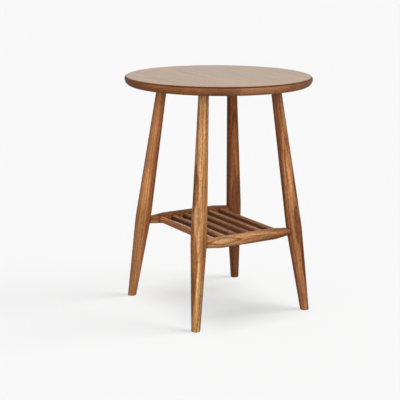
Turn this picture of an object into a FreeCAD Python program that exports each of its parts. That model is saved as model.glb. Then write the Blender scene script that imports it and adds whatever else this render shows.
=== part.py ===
import FreeCAD, Part
import math
import os
import Sketcher
from FreeCAD import Vector

# Sizes of the table in millimetres. Heights are above the floor. Places in x and y are
# distances from the upright line through the middle of the round top: x runs along the
# shelf rails, and y along the shelf rods and the grain of the top.
SIZES = {
    # Round top, glued up from boards that lie side by side in x. Its rim is rounded over
    # above and below a narrow straight land.
    "table_height": 570.0,
    "top_diameter": 450.0,
    "top_thickness": 22.0,
    "board_count": 6,
    "upper_rim_rounding": 6.5,
    "rim_land": 0.5,
    # Axis of each leg, at the floor and at the underside of the top
    "leg_foot_x": 156.5,
    "leg_foot_y": 158.0,
    "leg_top_x": 100.0,
    "leg_top_y": 95.5,
    # Turned outline of a leg: two straight tapers that meet in a soft belly. The cover is
    # the wood left between the end of the tenon and the face of the top.
    "leg_foot_radius": 10.5,
    "leg_belly_radius": 19.2,
    "leg_belly_height": 206.0,
    "leg_belly_rounding": 500.0,
    "leg_neck_radius": 12.0,
    "leg_tenon_cover": 8.0,
    "foot_edge_rounding": 1.2,
    # Shelf rails: a barrel that tapers to a neck at each end, and the neck enters a leg.
    # The relief is the stretch of plain neck that stays outside the leg.
    "shelf_height": 198.0,
    "rail_barrel_radius": 13.85,
    "rail_taper_length": 39.6,
    "rail_neck_radius": 9.5,
    "rail_neck_relief": 1.5,
    "rail_tenon_depth": 22.0,
    # Shelf rods: straight dowels that enter the rails. The margin is the distance from
    # the outermost rod's axis to the leg beside it.
    "rod_count": 6,
    "rod_margin": 28.6,
    "rod_radius": 7.75,
    "rod_tenon_depth": 15.0,
    # Joinery: room for glue round and behind each tenon, and the chamfer on its end
    "glue_gap": 0.15,
    "socket_end_gap": 0.8,
    "tenon_chamfer": 1.0,
    # How far a cutting shape runs past what it cuts
    "overrun": 5.0,
}

# Each leg, with the side of the table in x and in y on which it stands
LEG_SIDES = {
    "front_left_leg": (-1, -1),
    "front_right_leg": (1, -1),
    "back_left_leg": (-1, 1),
    "back_right_leg": (1, 1),
}

# Each rail, with the side of the table in y on which it lies
RAIL_SIDES = {
    "front_shelf_rail": -1,
    "back_shelf_rail": 1,
}

# Places that several pieces share, as expressions of the sizes in the sheet
TOP_RADIUS = "(Sizes.top_diameter / 2)"
UNDERSIDE = "(Sizes.table_height - Sizes.top_thickness)"
LOWER_RIM_ROUNDING = "(Sizes.top_thickness - Sizes.upper_rim_rounding - Sizes.rim_land)"
BOARD_WIDTH = "(Sizes.top_diameter / Sizes.board_count)"
SPLAY_X = "(Sizes.leg_foot_x - Sizes.leg_top_x)"
SPLAY_Y = "(Sizes.leg_foot_y - Sizes.leg_top_y)"
LEG_TILT = f"atan(sqrt({SPLAY_X}^2 + {SPLAY_Y}^2) / {UNDERSIDE})"
LEG_X_AT_SHELF = f"(Sizes.leg_foot_x - {SPLAY_X} * Sizes.shelf_height / {UNDERSIDE})"
LEG_Y_AT_SHELF = f"(Sizes.leg_foot_y - {SPLAY_Y} * Sizes.shelf_height / {UNDERSIDE})"
LEG_FACE_AT_SHELF = f"({LEG_X_AT_SHELF} - Sizes.leg_belly_radius)"
RAIL_REACH = f"({LEG_FACE_AT_SHELF} + Sizes.rail_tenon_depth)"
RAIL_NECK_REACH = f"({LEG_FACE_AT_SHELF} - Sizes.rail_neck_relief)"
RAIL_BARREL_REACH = f"({RAIL_NECK_REACH} - Sizes.rail_taper_length)"
ROD_REACH = f"({LEG_Y_AT_SHELF} - Sizes.rail_barrel_radius + Sizes.rod_tenon_depth)"
OUTER_ROD_X = f"({LEG_FACE_AT_SHELF} - Sizes.rod_margin)"
ROD_PITCH = f"(2 * {OUTER_ROD_X} / (Sizes.rod_count - 1))"

# Indices that a sketch gives to its two axes, and to the points of a line, arc or circle
HORIZONTAL_AXIS_INDEX = -1
VERTICAL_AXIS_INDEX = -2
START_INDEX = 1
END_INDEX = 2
CENTRE_INDEX = 3

FULL_TURN = 360
EDGE_SAMPLES = 5
SAME_PLANE = 1e-6


def new_document():
    """A document whose sheet holds every size under its own name."""
    document = FreeCAD.newDocument("lamp_table")
    sheet = document.addObject("Spreadsheet::Sheet", "Sizes")
    for row, (name, size) in enumerate(SIZES.items(), start=1):
        sheet.set(f"A{row}", name)
        sheet.set(f"B{row}", str(size))
        sheet.setAlias(f"B{row}", name)
    document.recompute()
    return document


def number(owner, expression):
    """The present value of an expression, in millimetres or degrees."""
    value = owner.evalExpression(expression)
    return float(getattr(value, "Value", value))


def bind(owner, **expressions):
    """Ties properties of an object to expressions of the sizes."""
    for name, expression in expressions.items():
        owner.setExpression(name, expression)


def moved(across, along, up):
    """A placement that is a plain shift with no turn."""
    return f"placement(vector({across}; {along}; {up}); rotationz(0))"


def along_leg(height):
    """Distance along a leg's axis from the floor up to a height."""
    return f"(({height}) / cos({LEG_TILT}))"


def slant_reach(radius):
    """How far a slanted round reaches past the level plane that its axis ends on."""
    return f"({radius} * tan({LEG_TILT}) + Sizes.overrun)"


def leg_placement(side_x, side_y):
    """Stands a leg's own upright axis on the floor and leans it in towards the middle."""
    foot = f"vector({side_x} * Sizes.leg_foot_x; {side_y} * Sizes.leg_foot_y; 0)"
    heading = f"rotationz(atan2({side_y} * {SPLAY_Y}; {side_x} * {SPLAY_X}))"
    return f"placement({foot}; {heading} * rotationy(-{LEG_TILT}))"


def new_body(document, name):
    """An empty body under a name of its own."""
    body = document.addObject("PartDesign::Body", name)
    body.Label = name
    return body


def new_sketch(body, name, role):
    """A sketch on one of the body's own origin planes."""
    plane = next(item for item in body.Origin.OriginFeatures if item.Role == role)
    sketch = body.newObject("Sketcher::SketchObject", f"{body.Name}_{name}")
    sketch.AttachmentSupport = [(plane, "")]
    sketch.MapMode = "FlatFace"
    return sketch


def relate(sketch, kind, *target):
    """Adds a relation between curves of a sketch that needs no size."""
    sketch.addConstraint(Sketcher.Constraint(kind, *target))


def hold(sketch, kind, *target, size):
    """Adds a dimension to a sketch and ties it to an expression of the sizes."""
    index = sketch.addConstraint(Sketcher.Constraint(kind, *target, number(sketch, size)))
    sketch.setExpression(f"Constraints[{index}]", size)


def hold_point(sketch, curve, end, corner):
    """Fixes one point of a sketch at a corner, which is a pair of expressions."""
    directions = (("DistanceX", VERTICAL_AXIS_INDEX), ("DistanceY", HORIZONTAL_AXIS_INDEX))
    for (kind, axis), place in zip(directions, corner):
        if place == "0":
            relate(sketch, "PointOnObject", curve, end, axis)
        else:
            hold(sketch, kind, curve, end, size=place)


def point_at(sketch, corner):
    """A corner, which is a pair of expressions, as a point of the sketch."""
    across, up = corner
    return Vector(number(sketch, across), number(sketch, up), 0)


def join_ends(sketch, pairs):
    """Lets each following curve start where the one before it ends."""
    for curve, following in pairs:
        relate(sketch, "Coincident", curve, END_INDEX, following, START_INDEX)


def draw_outline(sketch, corners):
    """Joins fixed corners with straight lines into a closed outline."""
    points = [point_at(sketch, corner) for corner in corners]
    lines = [Part.LineSegment(*ends) for ends in zip(points, points[1:] + points[:1])]
    curves = list(sketch.addGeometry(lines, False))
    join_ends(sketch, zip(curves, curves[1:] + curves[:1]))
    for curve, corner in zip(curves, corners):
        hold_point(sketch, curve, START_INDEX, corner)


def draw_circle(sketch, centre, radius):
    """A circle whose centre and radius follow the sizes."""
    circle = Part.Circle(point_at(sketch, centre), Vector(0, 0, 1), number(sketch, radius))
    curve = sketch.addGeometry(circle, False)
    hold_point(sketch, curve, CENTRE_INDEX, centre)
    hold(sketch, "Radius", curve, size=radius)


def add_feature(body, kind, name, profile, **settings):
    """Adds a feature that works on a sketch of the body, and lets it take shape."""
    feature = body.newObject(f"PartDesign::{kind}", f"{body.Name}_{name}")
    feature.Profile = profile
    for setting, value in settings.items():
        setattr(feature, setting, value)
    body.Document.recompute()
    return feature


def edges_on(feature, offset):
    """Names of a feature's edges that lie where the offset of every point is zero."""
    names = []
    for index, edge in enumerate(feature.Shape.Edges, start=1):
        if all(abs(offset(point)) < SAME_PLANE for point in edge.discretize(Number=EDGE_SAMPLES)):
            names.append(f"Edge{index}")
    return names


def ease_edges(body, kind, name, feature, edges, **size):
    """Rounds or chamfers edges of a body's last feature."""
    easing = body.newObject(f"PartDesign::{kind}", f"{body.Name}_{name}")
    easing.Base = (feature, edges)
    bind(easing, **size)
    body.Document.recompute()
    return easing


def top_blank(document):
    """The whole round top with its rounded rim, before it is parted into boards."""
    blank = new_body(document, "top_blank")
    bind(blank, Placement=moved("0", "0", UNDERSIDE))
    disc = new_sketch(blank, "disc", "XY_Plane")
    draw_circle(disc, ("0", "0"), TOP_RADIUS)
    slab = add_feature(blank, "Pad", "slab", disc)
    bind(slab, Length="Sizes.top_thickness")
    document.recompute()
    thickness = number(slab, "Sizes.top_thickness")
    upper = edges_on(slab, lambda point: point.z - thickness)
    rounded = ease_edges(blank, "Fillet", "upper_rim", slab, upper, Radius="Sizes.upper_rim_rounding")
    lower = edges_on(rounded, lambda point: point.z)
    ease_edges(blank, "Fillet", "lower_rim", rounded, lower, Radius=LOWER_RIM_ROUNDING)
    return blank


def leg_sockets(document):
    """The blind round sockets in the underside of the top, in line with the legs."""
    radius = "(Sizes.leg_neck_radius + Sizes.glue_gap)"
    start = f"({along_leg(UNDERSIDE)} - {slant_reach(radius)})"
    end = f"({along_leg('Sizes.table_height - Sizes.leg_tenon_cover')} + Sizes.socket_end_gap)"
    sockets = []
    for name, sides in LEG_SIDES.items():
        socket = document.addObject("Part::Cylinder", f"{name}_socket")
        bind(
            socket,
            Radius=radius,
            Height=f"{end} - {start}",
            Placement=f"{leg_placement(*sides)} * {moved('0', '0', start)}",
        )
        sockets.append(socket)
    group = document.addObject("Part::MultiFuse", "leg_sockets")
    group.Shapes = sockets
    return group


def top_board(document, index, blank, sockets):
    """One board of the top, between two glue lines or a glue line and the rim."""
    before = "Sizes.overrun" if index == 0 else "0"
    after = "Sizes.overrun" if index == SIZES["board_count"] - 1 else "0"
    low_x = f"{index} * {BOARD_WIDTH} - {TOP_RADIUS} - {before}"
    stock = document.addObject("Part::Box", f"board_stock_{index + 1}")
    bind(
        stock,
        Length=f"{BOARD_WIDTH} + {before} + {after}",
        Width="Sizes.top_diameter + 2 * Sizes.overrun",
        Height="Sizes.top_thickness + 2 * Sizes.overrun",
        Placement=moved(low_x, f"-{TOP_RADIUS} - Sizes.overrun", f"{UNDERSIDE} - Sizes.overrun"),
    )
    sawn = document.addObject("Part::Common", f"board_sawn_{index + 1}")
    sawn.Base = blank
    sawn.Tool = stock
    board = document.addObject("Part::Cut", f"top_board_{index + 1}")
    board.Base = sawn
    board.Tool = sockets
    return board


def draw_leg_outline(sketch):
    """Half the outline of a leg, from below the floor to the end of its tenon."""
    end = along_leg("Sizes.table_height - Sizes.leg_tenon_cover")
    below_floor = f"-{slant_reach('Sizes.leg_foot_radius')}"
    foot = ("Sizes.leg_foot_radius", "0")
    belly = ("Sizes.leg_belly_radius", along_leg("Sizes.leg_belly_height"))
    neck = ("Sizes.leg_neck_radius", along_leg(UNDERSIDE))
    tenon_edge = ("Sizes.leg_neck_radius", f"{end} - Sizes.tenon_chamfer")
    tenon_tip = ("Sizes.leg_neck_radius - Sizes.tenon_chamfer", end)

    # The belly's arc touches both tapers, each as far from their meeting point
    foot_point, belly_point, neck_point = (point_at(sketch, corner) for corner in (foot, belly, neck))
    rising = (belly_point - foot_point).normalize()
    closing = (neck_point - belly_point).normalize()
    rounding = number(sketch, "Sizes.leg_belly_rounding")
    reach = rounding * math.tan(rising.getAngle(closing) / 2)
    arc_start = belly_point - rising * reach
    arc_end = belly_point + closing * reach
    arc_centre = arc_start + Vector(-rising.y, rising.x, 0) * rounding
    arc_crest = arc_centre + (belly_point - arc_centre).normalize() * rounding

    stock_middle = point_at(sketch, ("0", below_floor))
    stock_edge = point_at(sketch, (foot[0], below_floor))
    edge_point, tip_point = (point_at(sketch, corner) for corner in (tenon_edge, tenon_tip))
    tip_middle = point_at(sketch, ("0", end))
    curves = [
        Part.LineSegment(stock_middle, stock_edge),
        Part.LineSegment(stock_edge, arc_start),
        Part.Arc(arc_start, arc_crest, arc_end),
        Part.LineSegment(arc_end, neck_point),
        Part.LineSegment(neck_point, edge_point),
        Part.LineSegment(edge_point, tip_point),
        Part.LineSegment(tip_point, tip_middle),
        Part.LineSegment(tip_middle, stock_middle),
    ]
    base, lower, swell, upper, side, bevel, tip, axis = sketch.addGeometry(curves, False)
    join_ends(sketch, ((base, lower), (upper, side), (side, bevel), (bevel, tip), (tip, axis), (axis, base)))
    relate(sketch, "Tangent", lower, END_INDEX, swell, START_INDEX)
    relate(sketch, "Tangent", swell, END_INDEX, upper, START_INDEX)
    relate(sketch, "Horizontal", base)
    relate(sketch, "Horizontal", tip)
    relate(sketch, "PointOnObject", axis, START_INDEX, VERTICAL_AXIS_INDEX)
    hold(sketch, "Radius", swell, size="Sizes.leg_belly_rounding")
    hold_point(sketch, base, START_INDEX, ("0", below_floor))
    hold_point(sketch, upper, END_INDEX, neck)
    hold_point(sketch, side, END_INDEX, tenon_edge)
    hold_point(sketch, bevel, END_INDEX, tenon_tip)

    # The tapers run through the foot at the floor and meet at the belly
    for corner, tapers in ((foot, (lower,)), (belly, (lower, upper))):
        mark = sketch.addGeometry(Part.Point(point_at(sketch, corner)), True)
        hold_point(sketch, mark, START_INDEX, corner)
        for taper in tapers:
            relate(sketch, "PointOnObject", mark, START_INDEX, taper)


def turned_leg(document, name, side_x, side_y):
    """A leg as it leaves the lathe and the saw: turned, and cut level with the floor."""
    body = new_body(document, name)
    outline = new_sketch(body, "outline", "XZ_Plane")
    draw_leg_outline(outline)
    add_feature(body, "Revolution", "turning", outline, ReferenceAxis=(outline, ["V_Axis"]), Angle=FULL_TURN)

    floor = new_sketch(body, "floor", "XZ_Plane")
    bind(floor, AttachmentOffset=f"placement(vector(0; 0; 0); rotationz(-{LEG_TILT}))")
    width = "(Sizes.leg_foot_radius + Sizes.overrun)"
    depth = f"(2 * {slant_reach(width)})"
    waste = ((f"-{width}", f"-{depth}"), (width, f"-{depth}"), (width, "0"), (f"-{width}", "0"))
    draw_outline(floor, waste)
    level = add_feature(body, "Pocket", "level", floor, Type="ThroughAll", SideType="Symmetric")

    tilt = math.radians(number(body, LEG_TILT))
    rim = edges_on(level, lambda point: point.x * math.sin(tilt) + point.z * math.cos(tilt))
    ease_edges(body, "Fillet", "foot_edge", level, rim, Radius="Sizes.foot_edge_rounding")
    bind(body, Placement=leg_placement(side_x, side_y))
    return body


def leg(document, name, side_x, side_y):
    """A leg of the table, with the blind socket for the end of its shelf rail."""
    mouth = f"({LEG_FACE_AT_SHELF} - Sizes.rail_neck_radius - Sizes.overrun)"
    place = f"vector({side_x} * {mouth}; {side_y} * {LEG_Y_AT_SHELF}; Sizes.shelf_height)"
    socket = document.addObject("Part::Cylinder", f"{name}_rail_socket")
    bind(
        socket,
        Radius="Sizes.rail_neck_radius + Sizes.glue_gap",
        Height=f"{RAIL_REACH} + Sizes.socket_end_gap - {mouth}",
        Placement=f"placement({place}; rotationy({side_x} * 90))",
    )
    piece = document.addObject("Part::Cut", name)
    piece.Base = turned_leg(document, f"{name}_turned", side_x, side_y)
    piece.Tool = socket
    return piece


def draw_rail_outline(sketch):
    """Half the outline of a rail, from the end of one tenon to the end of the other."""
    half = [
        ("0", "Sizes.rail_neck_radius - Sizes.tenon_chamfer"),
        ("Sizes.tenon_chamfer", "Sizes.rail_neck_radius"),
        (f"({RAIL_REACH} - {RAIL_NECK_REACH})", "Sizes.rail_neck_radius"),
        (f"({RAIL_REACH} - {RAIL_BARREL_REACH})", "Sizes.rail_barrel_radius"),
    ]
    length = f"2 * {RAIL_REACH}"
    other_half = [(f"({length} - {across})", up) for across, up in reversed(half)]
    draw_outline(sketch, [("0", "0"), *half, *other_half, (length, "0")])


def shelf_rail(document, name, side):
    """A turned rail with a tenon at each end and a blind socket for each rod."""
    rail = new_body(document, name)
    outline = new_sketch(rail, "outline", "XZ_Plane")
    draw_rail_outline(outline)
    add_feature(rail, "Revolution", "turning", outline, ReferenceAxis=(outline, ["H_Axis"]), Angle=FULL_TURN)

    bore = new_sketch(rail, "bore", "XZ_Plane")
    past_axis = "(Sizes.rod_tenon_depth + Sizes.socket_end_gap - Sizes.rail_barrel_radius)"
    bind(bore, AttachmentOffset=moved("0", "0", past_axis))
    draw_circle(bore, (f"({RAIL_REACH} - {OUTER_ROD_X})", "0"), "(Sizes.rod_radius + Sizes.glue_gap)")
    socket = add_feature(rail, "Pocket", "rod_socket", bore, Type="ThroughAll")

    row = rail.newObject("PartDesign::LinearPattern", f"{name}_rod_sockets")
    row.Originals = [socket]
    row.Direction = (outline, ["H_Axis"])
    bind(row, Length=f"2 * {OUTER_ROD_X}", Occurrences="Sizes.rod_count")
    rail.Tip = row
    end = f"vector({side} * {RAIL_REACH}; {side} * {LEG_Y_AT_SHELF}; Sizes.shelf_height)"
    half_turns = max(side, 0)
    bind(rail, Placement=f"placement({end}; rotationz({half_turns} * 180))")
    return rail


def shelf_rod(document, index):
    """A straight dowel of the shelf, with a chamfer on each end."""
    rod = new_body(document, f"shelf_rod_{index + 1}")
    section = new_sketch(rod, "section", "XZ_Plane")
    draw_circle(section, ("0", "0"), "Sizes.rod_radius")
    dowel = add_feature(rod, "Pad", "dowel", section, SideType="Symmetric")
    bind(dowel, Length=f"2 * {ROD_REACH}")
    document.recompute()
    reach = number(dowel, ROD_REACH)
    ends = edges_on(dowel, lambda point: abs(point.y) - reach)
    ease_edges(rod, "Chamfer", "end_chamfer", dowel, ends, Size="Sizes.tenon_chamfer")
    bind(rod, Placement=moved(f"{index} * {ROD_PITCH} - {OUTER_ROD_X}", "0", "Sizes.shelf_height"))
    return rod


def write_pieces(document, pieces):
    """Checks every object and every piece, then writes one file for each piece."""
    for item in document.Objects:
        if {"Invalid", "Error"} & set(item.State):
            raise RuntimeError(f"{item.Label} could not be made: {item.State}")
    for piece in pieces:
        shape = piece.Shape
        if shape.isNull() or not shape.isValid() or len(shape.Solids) != 1:
            raise RuntimeError(f"{piece.Label} is not one sound solid")
    os.makedirs("parts", exist_ok=True)
    for piece in pieces:
        piece.Shape.exportStep(f"parts/{piece.Label}.step")


def build():
    """Builds the table piece by piece and writes the pieces."""
    document = new_document()
    blank = top_blank(document)
    sockets = leg_sockets(document)
    pieces = [top_board(document, index, blank, sockets) for index in range(SIZES["board_count"])]
    pieces += [leg(document, name, *sides) for name, sides in LEG_SIDES.items()]
    pieces += [shelf_rail(document, name, side) for name, side in RAIL_SIDES.items()]
    pieces += [shelf_rod(document, index) for index in range(SIZES["rod_count"])]
    document.recompute()
    write_pieces(document, pieces)


build()
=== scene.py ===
"""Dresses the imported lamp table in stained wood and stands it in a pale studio.

Every length is in metres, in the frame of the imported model: z rises from the floor, x runs
along the two shelf rails, and y along the shelf rods and the boards of the round top.
"""

import logging
import math
from collections.abc import Collection, Mapping
from dataclasses import dataclass, field
from enum import Enum

import bmesh
import bpy
import numpy as np
from mathutils import Matrix


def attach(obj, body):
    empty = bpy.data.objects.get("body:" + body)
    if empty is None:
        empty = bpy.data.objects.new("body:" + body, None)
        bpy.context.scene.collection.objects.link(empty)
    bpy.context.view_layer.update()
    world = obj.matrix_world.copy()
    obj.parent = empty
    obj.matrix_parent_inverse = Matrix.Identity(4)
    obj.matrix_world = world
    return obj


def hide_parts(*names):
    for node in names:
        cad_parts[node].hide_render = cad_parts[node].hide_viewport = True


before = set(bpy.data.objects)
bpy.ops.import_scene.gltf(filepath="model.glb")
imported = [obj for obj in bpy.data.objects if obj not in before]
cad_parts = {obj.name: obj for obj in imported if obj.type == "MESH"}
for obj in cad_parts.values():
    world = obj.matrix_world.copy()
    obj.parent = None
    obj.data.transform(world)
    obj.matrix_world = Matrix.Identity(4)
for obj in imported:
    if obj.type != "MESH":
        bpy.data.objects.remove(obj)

Array = np.ndarray
Triple = tuple[float, float, float]
Screen = tuple[int, int, int]
Socket = bpy.types.NodeSocket
Object = bpy.types.Object

BODY = "root"
LOG = logging.getLogger("lamp_table")
X, Y, Z = np.eye(3)
SHARP_ANGLE = math.radians(32)
MERGE_REACH = 1e-6


class Slot(Enum):
    """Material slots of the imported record."""

    TOP = "top_wood"
    LEGS = "leg_wood"
    SHELF = "shelf_wood"


def paint(*screen: int) -> tuple[float, ...]:
    """Turns screen red, green and blue from 0 to 255 into the linear colour of a node."""
    shown = np.array(screen) / 255
    return (*np.where(shown <= 0.04045, shown / 12.92, ((shown + 0.055) / 1.055) ** 2.4).tolist(), 1.0)


# Shapes


@dataclass(frozen=True)
class Stance:
    """Where a piece stands in the table.

    Attributes:
        origin: Place of the piece's own zero.
        x: Direction of its own x.
        z: Direction of its own z, along which the grain runs.
    """

    origin: Array | Triple
    x: Array
    z: Array

    def place(self, own: Array) -> Array:
        """Puts points given in the piece's own axes where they are in the table."""
        return own @ np.array([self.x, np.cross(self.z, self.x), self.z]) + self.origin

    def crowding(self, points: Array, radius: float, reach: float, one_way: bool = False) -> Array:
        """How closely points crowd the skin of a round piece on this stance.

        It is 1 on the skin and falls off exponentially with the distance from it, measured
        square to the round piece's own z axis.

        Args:
            points: Points in the table's frame.
            radius: Radius of the round piece.
            reach: Distance in which the value falls to 37%.
            one_way: Whether only points ahead of the origin along z count.

        Returns:
            One value from 0 to 1 for each point.
        """
        offset = points - self.origin
        along = offset @ self.z
        apart = np.linalg.norm(offset - along[..., None] * self.z, axis=-1)
        near = np.exp(-np.abs(apart - radius) / reach)
        return np.where(along > 0, near, 0.0) if one_way else near


@dataclass(frozen=True)
class ClosedSurface:
    """A closed surface in a piece's own axes.

    Attributes:
        rings: Points in rows and columns. Each row goes once round the piece.
        start: Point that closes the surface before the first row.
        end: Point that closes it after the last row.
    """

    rings: Array
    start: Array
    end: Array

    def points(self) -> Array:
        """All points in one list, with the two closing points last."""
        return np.vstack([self.rings.reshape(-1, 3), self.start, self.end])

    def faces(self) -> list[list[int]]:
        """Quads between neighbouring rows, and a fan of triangles at each end.

        Returns:
            Point numbers of each face, in the order that turns it outwards.
        """
        rows, columns = self.rings.shape[:2]
        number = np.arange(rows * columns).reshape(rows, columns)
        turned = np.roll(number, -1, axis=1)
        quads = np.stack([number[:-1], turned[:-1], turned[1:], number[1:]], axis=-1)
        first = np.full(columns, rows * columns)
        near = np.stack([first, turned[0], number[0]], axis=-1)
        far = np.stack([first + 1, number[-1], turned[-1]], axis=-1)
        return quads.reshape(-1, 4).tolist() + near.tolist() + far.tolist()


def softened(along: Array, corners: list[tuple[float, float]], reach: float) -> Array:
    """Radius of an outline whose corners are rounded over a short stretch.

    The outline runs straight from corner to corner. Its radius at a place is the mean of the
    straight outline over the reach on both sides, which turns each corner into a parabola.

    Args:
        along: Places along the outline.
        corners: Place and radius of each corner, in order.
        reach: Half the length over which the mean is taken.

    Returns:
        The radius at each place.
    """
    places, radii = np.array(corners).T
    shifts = reach * np.linspace(-1, 1, 33)
    return np.interp(along[..., None] + shifts, places, radii).mean(axis=-1)


def turned_bar(
    half: list[tuple[float, float]], chamfer: float, rounding: float, rows: int, columns: int
) -> ClosedSurface:
    """Turns a bar round its z axis, alike on both sides of its middle: x = r cos a, y = r sin a.

    Args:
        half: Place and radius of each corner of its outline, from the middle out.
        chamfer: Chamfer on each end.
        rounding: Half the length over which the corners are rounded.
        rows: Number of rows between the two chamfers.
        columns: Number of points round each row.

    Returns:
        The surface.
    """
    reach, tip = half[-1][0], [half[-1][1] - chamfer]
    corners = [(-place, radius) for place, radius in reversed(half)] + half
    wall = np.linspace(chamfer - reach, reach - chamfer, rows)
    radius = np.concatenate([tip, softened(wall, corners, rounding), tip])
    angle = np.linspace(0, 2 * math.pi, columns, endpoint=False)
    x, y = np.outer(radius, np.cos(angle)), np.outer(radius, np.sin(angle))
    z = np.broadcast_to(np.concatenate([[-reach], wall, [reach]])[:, None], x.shape)
    return ClosedSurface(np.stack([x, y, z], axis=-1), -reach * Z, reach * Z)


def turn_from(points: Array, zero: Array | float) -> Array:
    """Degrees round the z axis from a direction to points, from -180 to 180."""
    return (np.degrees(np.arctan2(points[:, 1], points[:, 0])) - zero + 180) % 360 - 180


@dataclass(frozen=True)
class Billet:
    """The piece of a log that a part is worked from, and how it took the stain.

    Attributes:
        heart: Where the heart of the log lies from the part's middle, in own x and y.
        lean: How far the grain runs off the part's z axis, per metre, in own x and y.
        start: Place of the part along the log.
        stain: Shares of red, green and blue that the stain leaves.
        figure: How strongly the growth rings show.
    """

    heart: tuple[float, float]
    lean: tuple[float, float]
    start: float
    stain: Triple
    figure: float = 1.0

    def grain(self, own: Array) -> Array:
        """Where points in the part's own axes lie in the log, whose heart is the z axis."""
        across = own[:, :2] - np.array(self.heart) + own[:, 2:] * np.array(self.lean)
        return np.hstack([across, own[:, 2:] + self.start])


@dataclass(frozen=True)
class Flame:
    """A long leaf in another shade: mostly bent rings cut by the turning, a few painted light and shade.

    Attributes:
        low: Place of its lower tip along the piece.
        high: Place of its upper tip.
        turn: Degrees round the piece, from own x towards own y, to the leaf's middle.
        width: Degrees across the leaf where it is widest.
        shade: Shares of red, green and blue that it shows of the wood beside it.
        slant: Degrees that the leaf turns round the piece from tip to tip.
        ease: Degrees in which the shade comes in at the leaf's sides.
        fullness: Power of the sine that gives the leaf's width.
        waver: Degrees by which its middle line wavers like a sine.
        waver_rate: Radians of that sine in a metre.
    """

    low: float
    high: float
    turn: float
    width: float
    shade: Triple
    slant: float = 0.0
    ease: float = 6.0

    fullness = 0.7
    waver = 2.0
    waver_rate = 55.0

    def tint(self, own: Array) -> Array:
        """Shares of each colour that points keep.

        With s the share of the way from tip to tip, the leaf's half width is its greatest
        one times sin(pi s) to the power of its fullness.

        Args:
            own: Points in the piece's own axes.

        Returns:
            Red, green and blue for each point.
        """
        way = np.clip((own[:, 2] - self.low) / (self.high - self.low), 0, 1)
        half = self.width / 2 * np.abs(np.sin(math.pi * way)) ** self.fullness
        waver = self.waver * np.sin(self.waver_rate * own[:, 2] + self.turn)
        apart = np.abs(turn_from(own, self.turn + self.slant * (way - 0.5) + waver))
        share = np.clip((half - apart) / self.ease + np.minimum(half / self.ease, 0.5), 0, 1)
        return 1 - np.outer(share, 1 - np.array(self.shade))


def flamed(surface: ClosedSurface, flames: Collection[Flame]) -> Array:
    """Shares of each colour that the points of a surface keep under all its flames."""
    return np.prod([flame.tint(surface.points()) for flame in flames], axis=0)


@dataclass(frozen=True)
class Piece:
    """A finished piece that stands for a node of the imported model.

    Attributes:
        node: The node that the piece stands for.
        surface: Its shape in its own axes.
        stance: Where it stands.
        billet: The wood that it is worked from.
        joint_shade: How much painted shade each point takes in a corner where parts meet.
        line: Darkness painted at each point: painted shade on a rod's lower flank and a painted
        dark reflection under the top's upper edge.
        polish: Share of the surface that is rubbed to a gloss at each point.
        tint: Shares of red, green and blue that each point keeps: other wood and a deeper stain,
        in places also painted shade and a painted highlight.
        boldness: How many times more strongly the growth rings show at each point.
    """

    node: str
    surface: ClosedSurface
    stance: Stance
    billet: Billet
    joint_shade: Array
    line: Array | float = 0.0
    polish: Array | float = 0.0
    tint: Array | float = 1.0
    boldness: Array | float = 1.0

    def mesh(self) -> bpy.types.Mesh:
        """Makes the mesh in its place, with smooth faces and the wood's own attributes.

        Returns:
            The mesh.
        """
        own = self.surface.points()
        mesh = bpy.data.meshes.new(f"{self.node}_wood")
        mesh.from_pydata(self.stance.place(own).tolist(), [], self.surface.faces())
        layers = {
            "grain_place": self.billet.grain(own),
            "stain": np.broadcast_to(np.array(self.billet.stain) * self.tint, own.shape),
            "joint_shade": self.joint_shade,
            "painted_dark_line": self.line,
            "polish": self.polish,
            "figure": self.billet.figure * self.boldness,
        }
        for name, values in layers.items():
            set_attribute(mesh, name, values)
        merge_doubles(mesh)
        mesh.shade_smooth()
        mesh.set_sharp_from_angle(angle=SHARP_ANGLE)
        set_attribute(mesh, "end_grain", np.abs(point_normals(mesh) @ self.stance.z) ** 2)
        return mesh

    def add(self, finish: "StainedWood") -> Object:
        """Adds the piece to the scene in place of its node.

        Args:
            finish: The finish that it gets.

        Returns:
            The new object.
        """
        mesh = self.mesh()
        mesh.materials.append(finish.material)
        piece = add_object(f"{self.node}_wood", mesh)
        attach(piece, BODY)
        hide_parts(self.node)
        LOG.info("%s stands for %s, %d faces", piece.name, self.node, len(mesh.polygons))
        return piece


def add_object(name: str, data: bpy.types.ID) -> Object:
    """Makes an object and adds it to the scene."""
    made = bpy.data.objects.new(name, data)
    bpy.context.scene.collection.objects.link(made)
    return made


def stand(thing: Object, place: Array | Triple, axes: list[Array]) -> None:
    """Stands an object at a place, with its own x, y and z along the given directions."""
    turn = Matrix(np.array(axes).T.tolist())
    thing.matrix_world = Matrix.Translation(list(place)) @ turn.to_4x4()


def set_attribute(mesh: bpy.types.Mesh, name: str, values: Array | float) -> None:
    """Stores one number or one vector for each point of a mesh.

    Args:
        mesh: The mesh.
        name: Name of the attribute.
        values: One number for all points, or a number or a vector for each in order.
    """
    kind, member, shape = "FLOAT", "value", (len(mesh.vertices),)
    if np.ndim(values) == 2:
        kind, member, shape = "FLOAT_VECTOR", "vector", (len(mesh.vertices), 3)
    flat = np.ascontiguousarray(np.broadcast_to(values, shape), np.float32).ravel()
    mesh.attributes.new(name, kind, "POINT").data.foreach_set(member, flat)


def point_normals(mesh: bpy.types.Mesh) -> Array:
    """The outward direction at each point of a mesh."""
    flat = np.empty(len(mesh.vertices) * 3, np.float32)
    mesh.vertex_normals.foreach_get("vector", flat)
    return flat.reshape(-1, 3)


def merge_doubles(mesh: bpy.types.Mesh) -> None:
    """Joins points that lie on each other, where a grid narrows to nothing."""
    work = bmesh.new()
    work.from_mesh(mesh)
    bmesh.ops.remove_doubles(work, verts=work.verts, dist=MERGE_REACH)
    work.to_mesh(mesh)
    work.free()


# Finishes


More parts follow.
